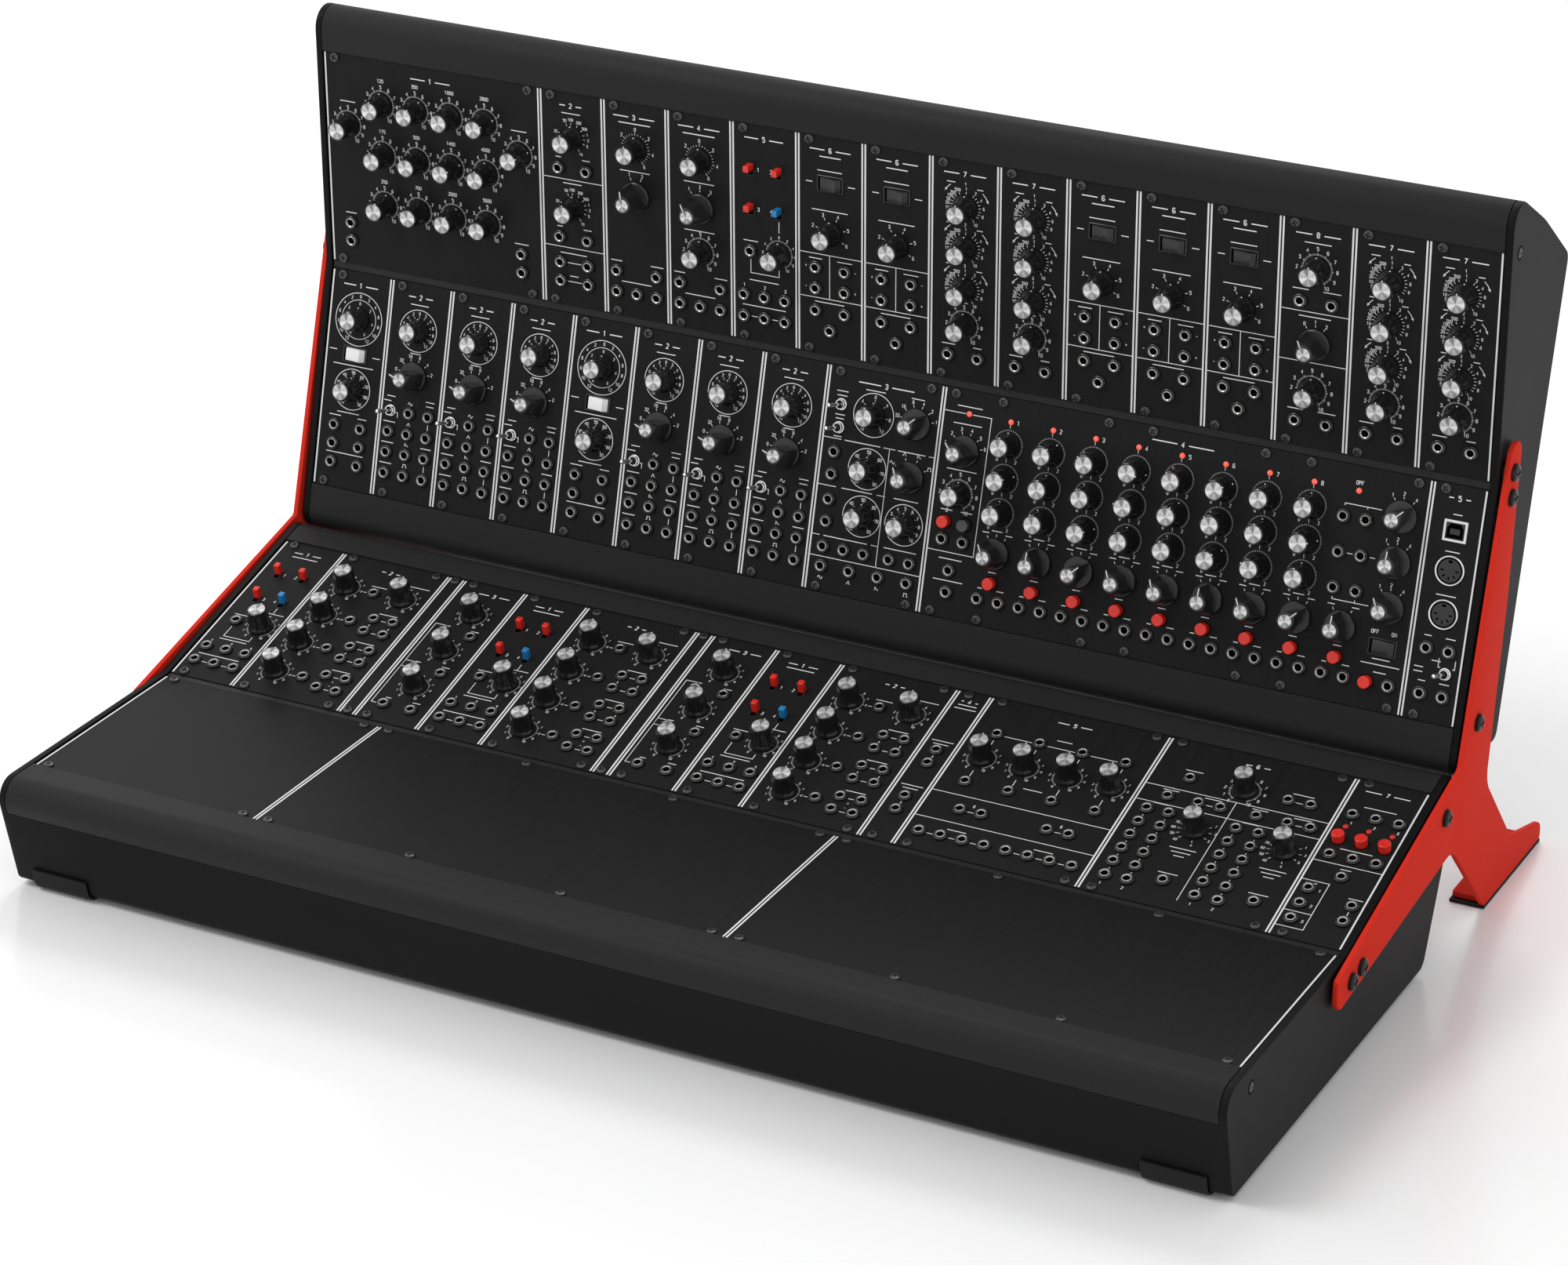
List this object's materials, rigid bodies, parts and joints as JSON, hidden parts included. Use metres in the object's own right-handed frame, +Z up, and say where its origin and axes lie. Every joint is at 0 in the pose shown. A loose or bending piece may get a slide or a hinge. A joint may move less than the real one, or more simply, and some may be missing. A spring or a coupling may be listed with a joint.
{
  "type": "modular synthesizer",
  "caption": "Two sloped cases of patchable control panels, the upper one raised nearly upright behind the lower on a pair of side brackets, on rubber feet.",
  "frame": {"origin": "centre of the bounding box bottom face, on the table between the feet", "axes": "+Z up, +X to the right of a player who stands in front, +Y away from the player"},
  "size_m": [0.7338, 0.4522, 0.4093],
  "materials": {
    "case_black": "matte black powder coat",
    "nose_grey": "satin black anodised extrusion",
    "panel_black": "fine brushed black anodised face with white printing",
    "bracket_red": "satin red powder coat",
    "rubber": "matte",
    "board": "solder mask",
    "supply": "plain folded metal",
    "knob_black": "glossy black with a spun silver cap",
    "lever_steel": "polished",
    "white_plastic": "glossy white",
    "red_plastic": "satin red",
    "blue_plastic": "satin blue",
    "grey_plastic": "matte grey"
  },
  "bodies": {
    "synthesizer": {"lower_case_shell": "case_black", "lower_front_nose": "nose_grey", "lower_rear_nose": "nose_grey", "lower_centre_rail": "case_black", "lower_bus_board": "board", "blank_panel_left": "panel_black", "blank_panel_middle": "panel_black", "blank_panel_right": "panel_black", "mixer_panel_left": "panel_black", "mixer_panel_middle": "panel_black", "attenuator_panel": "panel_black", "patch_interface_panel": "panel_black", "stage_switch_panel": "panel_black", "power_supply": "supply", "upper_case_shell": "case_black", "upper_front_nose": "nose_grey", "upper_rear_nose": "nose_grey", "upper_centre_rail": "case_black", "upper_bus_board": "board", "oscillator_panel_left": "panel_black", "oscillator_panel_right": "panel_black", "large_oscillator_panel": "panel_black", "sequencer_panel": "panel_black", "interface_ports_panel": "panel_black", "filter_bank_panel": "panel_black", "filter_group_panel": "panel_black", "amplifier_group_panel": "panel_black", "amplifier_delay_panel": "panel_black", "stand_bracket_left": "bracket_red", "bracket_pad_left": "rubber", "front_foot_left": "rubber", "rear_foot_left": "rubber", "stand_bracket_right": "bracket_red", "bracket_pad_right": "rubber", "front_foot_right": "rubber", "rear_foot_right": "rubber"},
    "mixer_knob": {"mixer_knob": "knob_black"},
    "stage_button": {"stage_button": "red_plastic"},
    "driver_rocker": {"driver_rocker": "white_plastic"},
    "oscillator_knob": {"oscillator_knob": "knob_black"},
    "oscillator_selector": {"oscillator_selector": "knob_black"},
    "oscillator_toggle": {"oscillator_toggle": "lever_steel"},
    "scale_toggle": {"scale_toggle": "lever_steel"},
    "sequencer_knob": {"sequencer_knob": "knob_black"},
    "sequencer_selector": {"sequencer_selector": "knob_black"},
    "timing_rocker": {"timing_rocker": "knob_black"},
    "clock_on_button": {"clock_on_button": "red_plastic"},
    "clock_off_button": {"clock_off_button": "grey_plastic"},
    "step_button": {"step_button": "red_plastic"},
    "shift_button": {"shift_button": "red_plastic"},
    "filter_bank_knob": {"filter_bank_knob": "knob_black"},
    "filter_knob": {"filter_knob": "knob_black"},
    "filter_selector": {"filter_selector": "knob_black"},
    "voltage_slide_red_a": {"voltage_slide_red_a": "red_plastic"},
    "voltage_slide_red_b": {"voltage_slide_red_b": "red_plastic"},
    "voltage_slide_red_c": {"voltage_slide_red_c": "red_plastic"},
    "voltage_slide_blue": {"voltage_slide_blue": "blue_plastic"},
    "amplifier_knob": {"amplifier_knob": "knob_black"},
    "amplifier_rocker": {"amplifier_rocker": "knob_black"},
    "envelope_knob": {"envelope_knob": "knob_black"}
  },
  "joints": [
    {"name": "mixer_knob_turn", "type": "hinge", "parent": "synthesizer", "child": "mixer_knob", "pos_m": [-0.29732, 0.03091, 0.09448], "axis": [0, -0.2588, 0.9659], "range_deg": [-150, 150]},
    {"name": "stage_button_press", "type": "slide", "parent": "synthesizer", "child": "stage_button", "axis": [0, -0.2588, 0.9659], "range_m": [-0.0012, 0], "stiffness_N_per_m": 400},
    {"name": "driver_rocker_tilt", "type": "hinge", "parent": "synthesizer", "child": "driver_rocker", "pos_m": [-0.33508, 0.10861, 0.20522], "axis": [0, 0.2419, 0.9703], "range_deg": [0, 20]},
    {"name": "oscillator_knob_turn", "type": "hinge", "parent": "synthesizer", "child": "oscillator_knob", "pos_m": [-0.29464, 0.1132, 0.22566], "axis": [0, -0.9703, 0.2419], "range_deg": [-150, 150]},
    {"name": "oscillator_selector_turn", "type": "hinge", "parent": "synthesizer", "child": "oscillator_selector", "pos_m": [-0.29484, 0.10658, 0.1991], "axis": [0, -0.9703, 0.2419], "range_deg": [-150, 0]},
    {"name": "oscillator_toggle_tilt", "type": "hinge", "parent": "synthesizer", "child": "oscillator_toggle", "pos_m": [-0.30773, 0.10135, 0.17816], "axis": [0, 0.2419, 0.9703], "range_deg": [0, 24]},
    {"name": "scale_toggle_tilt", "type": "hinge", "parent": "synthesizer", "child": "scale_toggle", "pos_m": [-0.02052, 0.11469, 0.23164], "axis": [0, 0.2419, 0.9703], "range_deg": [0, 24]},
    {"name": "sequencer_knob_turn", "type": "hinge", "parent": "synthesizer", "child": "sequencer_knob", "pos_m": [0.08215, 0.11354, 0.22703], "axis": [0, -0.9703, 0.2419], "range_deg": [-150, 150]},
    {"name": "sequencer_selector_turn", "type": "hinge", "parent": "synthesizer", "child": "sequencer_selector", "pos_m": [0.08215, 0.09872, 0.16762], "axis": [0, -0.9703, 0.2419], "range_deg": [-60, 0]},
    {"name": "timing_rocker_tilt", "type": "hinge", "parent": "synthesizer", "child": "timing_rocker", "pos_m": [0.31033, 0.09764, 0.1612], "axis": [0, 0.2419, 0.9703], "range_deg": [0, 20]},
    {"name": "clock_on_button_press", "type": "slide", "parent": "synthesizer", "child": "clock_on_button", "axis": [0, -0.9703, 0.2419], "range_m": [-0.0012, 0], "stiffness_N_per_m": 400},
    {"name": "clock_off_button_press", "type": "slide", "parent": "synthesizer", "child": "clock_off_button", "axis": [0, -0.9703, 0.2419], "range_m": [-0.0012, 0], "stiffness_N_per_m": 400},
    {"name": "step_button_press", "type": "slide", "parent": "synthesizer", "child": "step_button", "axis": [0, -0.9703, 0.2419], "range_m": [-0.0012, 0], "stiffness_N_per_m": 400},
    {"name": "shift_button_press", "type": "slide", "parent": "synthesizer", "child": "shift_button", "axis": [0, -0.9703, 0.2419], "range_m": [-0.0012, 0], "stiffness_N_per_m": 400},
    {"name": "filter_bank_knob_turn", "type": "hinge", "parent": "synthesizer", "child": "filter_bank_knob", "pos_m": [-0.31826, 0.11855, 0.35808], "axis": [0, -0.9998, -0.0175], "range_deg": [-150, 150]},
    {"name": "filter_knob_turn", "type": "hinge", "parent": "synthesizer", "child": "filter_knob", "pos_m": [-0.19304, 0.11854, 0.35834], "axis": [0, -0.9998, -0.0175], "range_deg": [-150, 150]},
    {"name": "filter_selector_turn", "type": "hinge", "parent": "synthesizer", "child": "filter_selector", "pos_m": [-0.1524, 0.11904, 0.33007], "axis": [0, -0.9998, -0.0175], "range_deg": [-30, 0]},
    {"name": "voltage_slide_red_a_slide", "type": "slide", "parent": "synthesizer", "child": "voltage_slide_red_a", "axis": [0, -0.0175, 0.9998], "range_m": [-0.0029, 0]},
    {"name": "voltage_slide_red_b_slide", "type": "slide", "parent": "synthesizer", "child": "voltage_slide_red_b", "axis": [0, -0.0175, 0.9998], "range_m": [-0.0029, 0]},
    {"name": "voltage_slide_red_c_slide", "type": "slide", "parent": "synthesizer", "child": "voltage_slide_red_c", "axis": [0, -0.0175, 0.9998], "range_m": [-0.0029, 0]},
    {"name": "voltage_slide_blue_slide", "type": "slide", "parent": "synthesizer", "child": "voltage_slide_blue", "axis": [0, -0.0175, 0.9998], "range_m": [-0.0029, 0]},
    {"name": "amplifier_knob_turn", "type": "hinge", "parent": "synthesizer", "child": "amplifier_knob", "pos_m": [-0.03048, 0.11906, 0.32878], "axis": [0, -0.9998, -0.0175], "range_deg": [-150, 150]},
    {"name": "amplifier_rocker_tilt", "type": "hinge", "parent": "synthesizer", "child": "amplifier_rocker", "pos_m": [-0.03048, 0.11906, 0.3577], "axis": [0, -0.0175, 0.9998], "range_deg": [0, 20]},
    {"name": "envelope_knob_turn", "type": "hinge", "parent": "synthesizer", "child": "envelope_knob", "pos_m": [0.05121, 0.11855, 0.35789], "axis": [0, -0.9998, -0.0175], "range_deg": [-150, 150]}
  ]
}
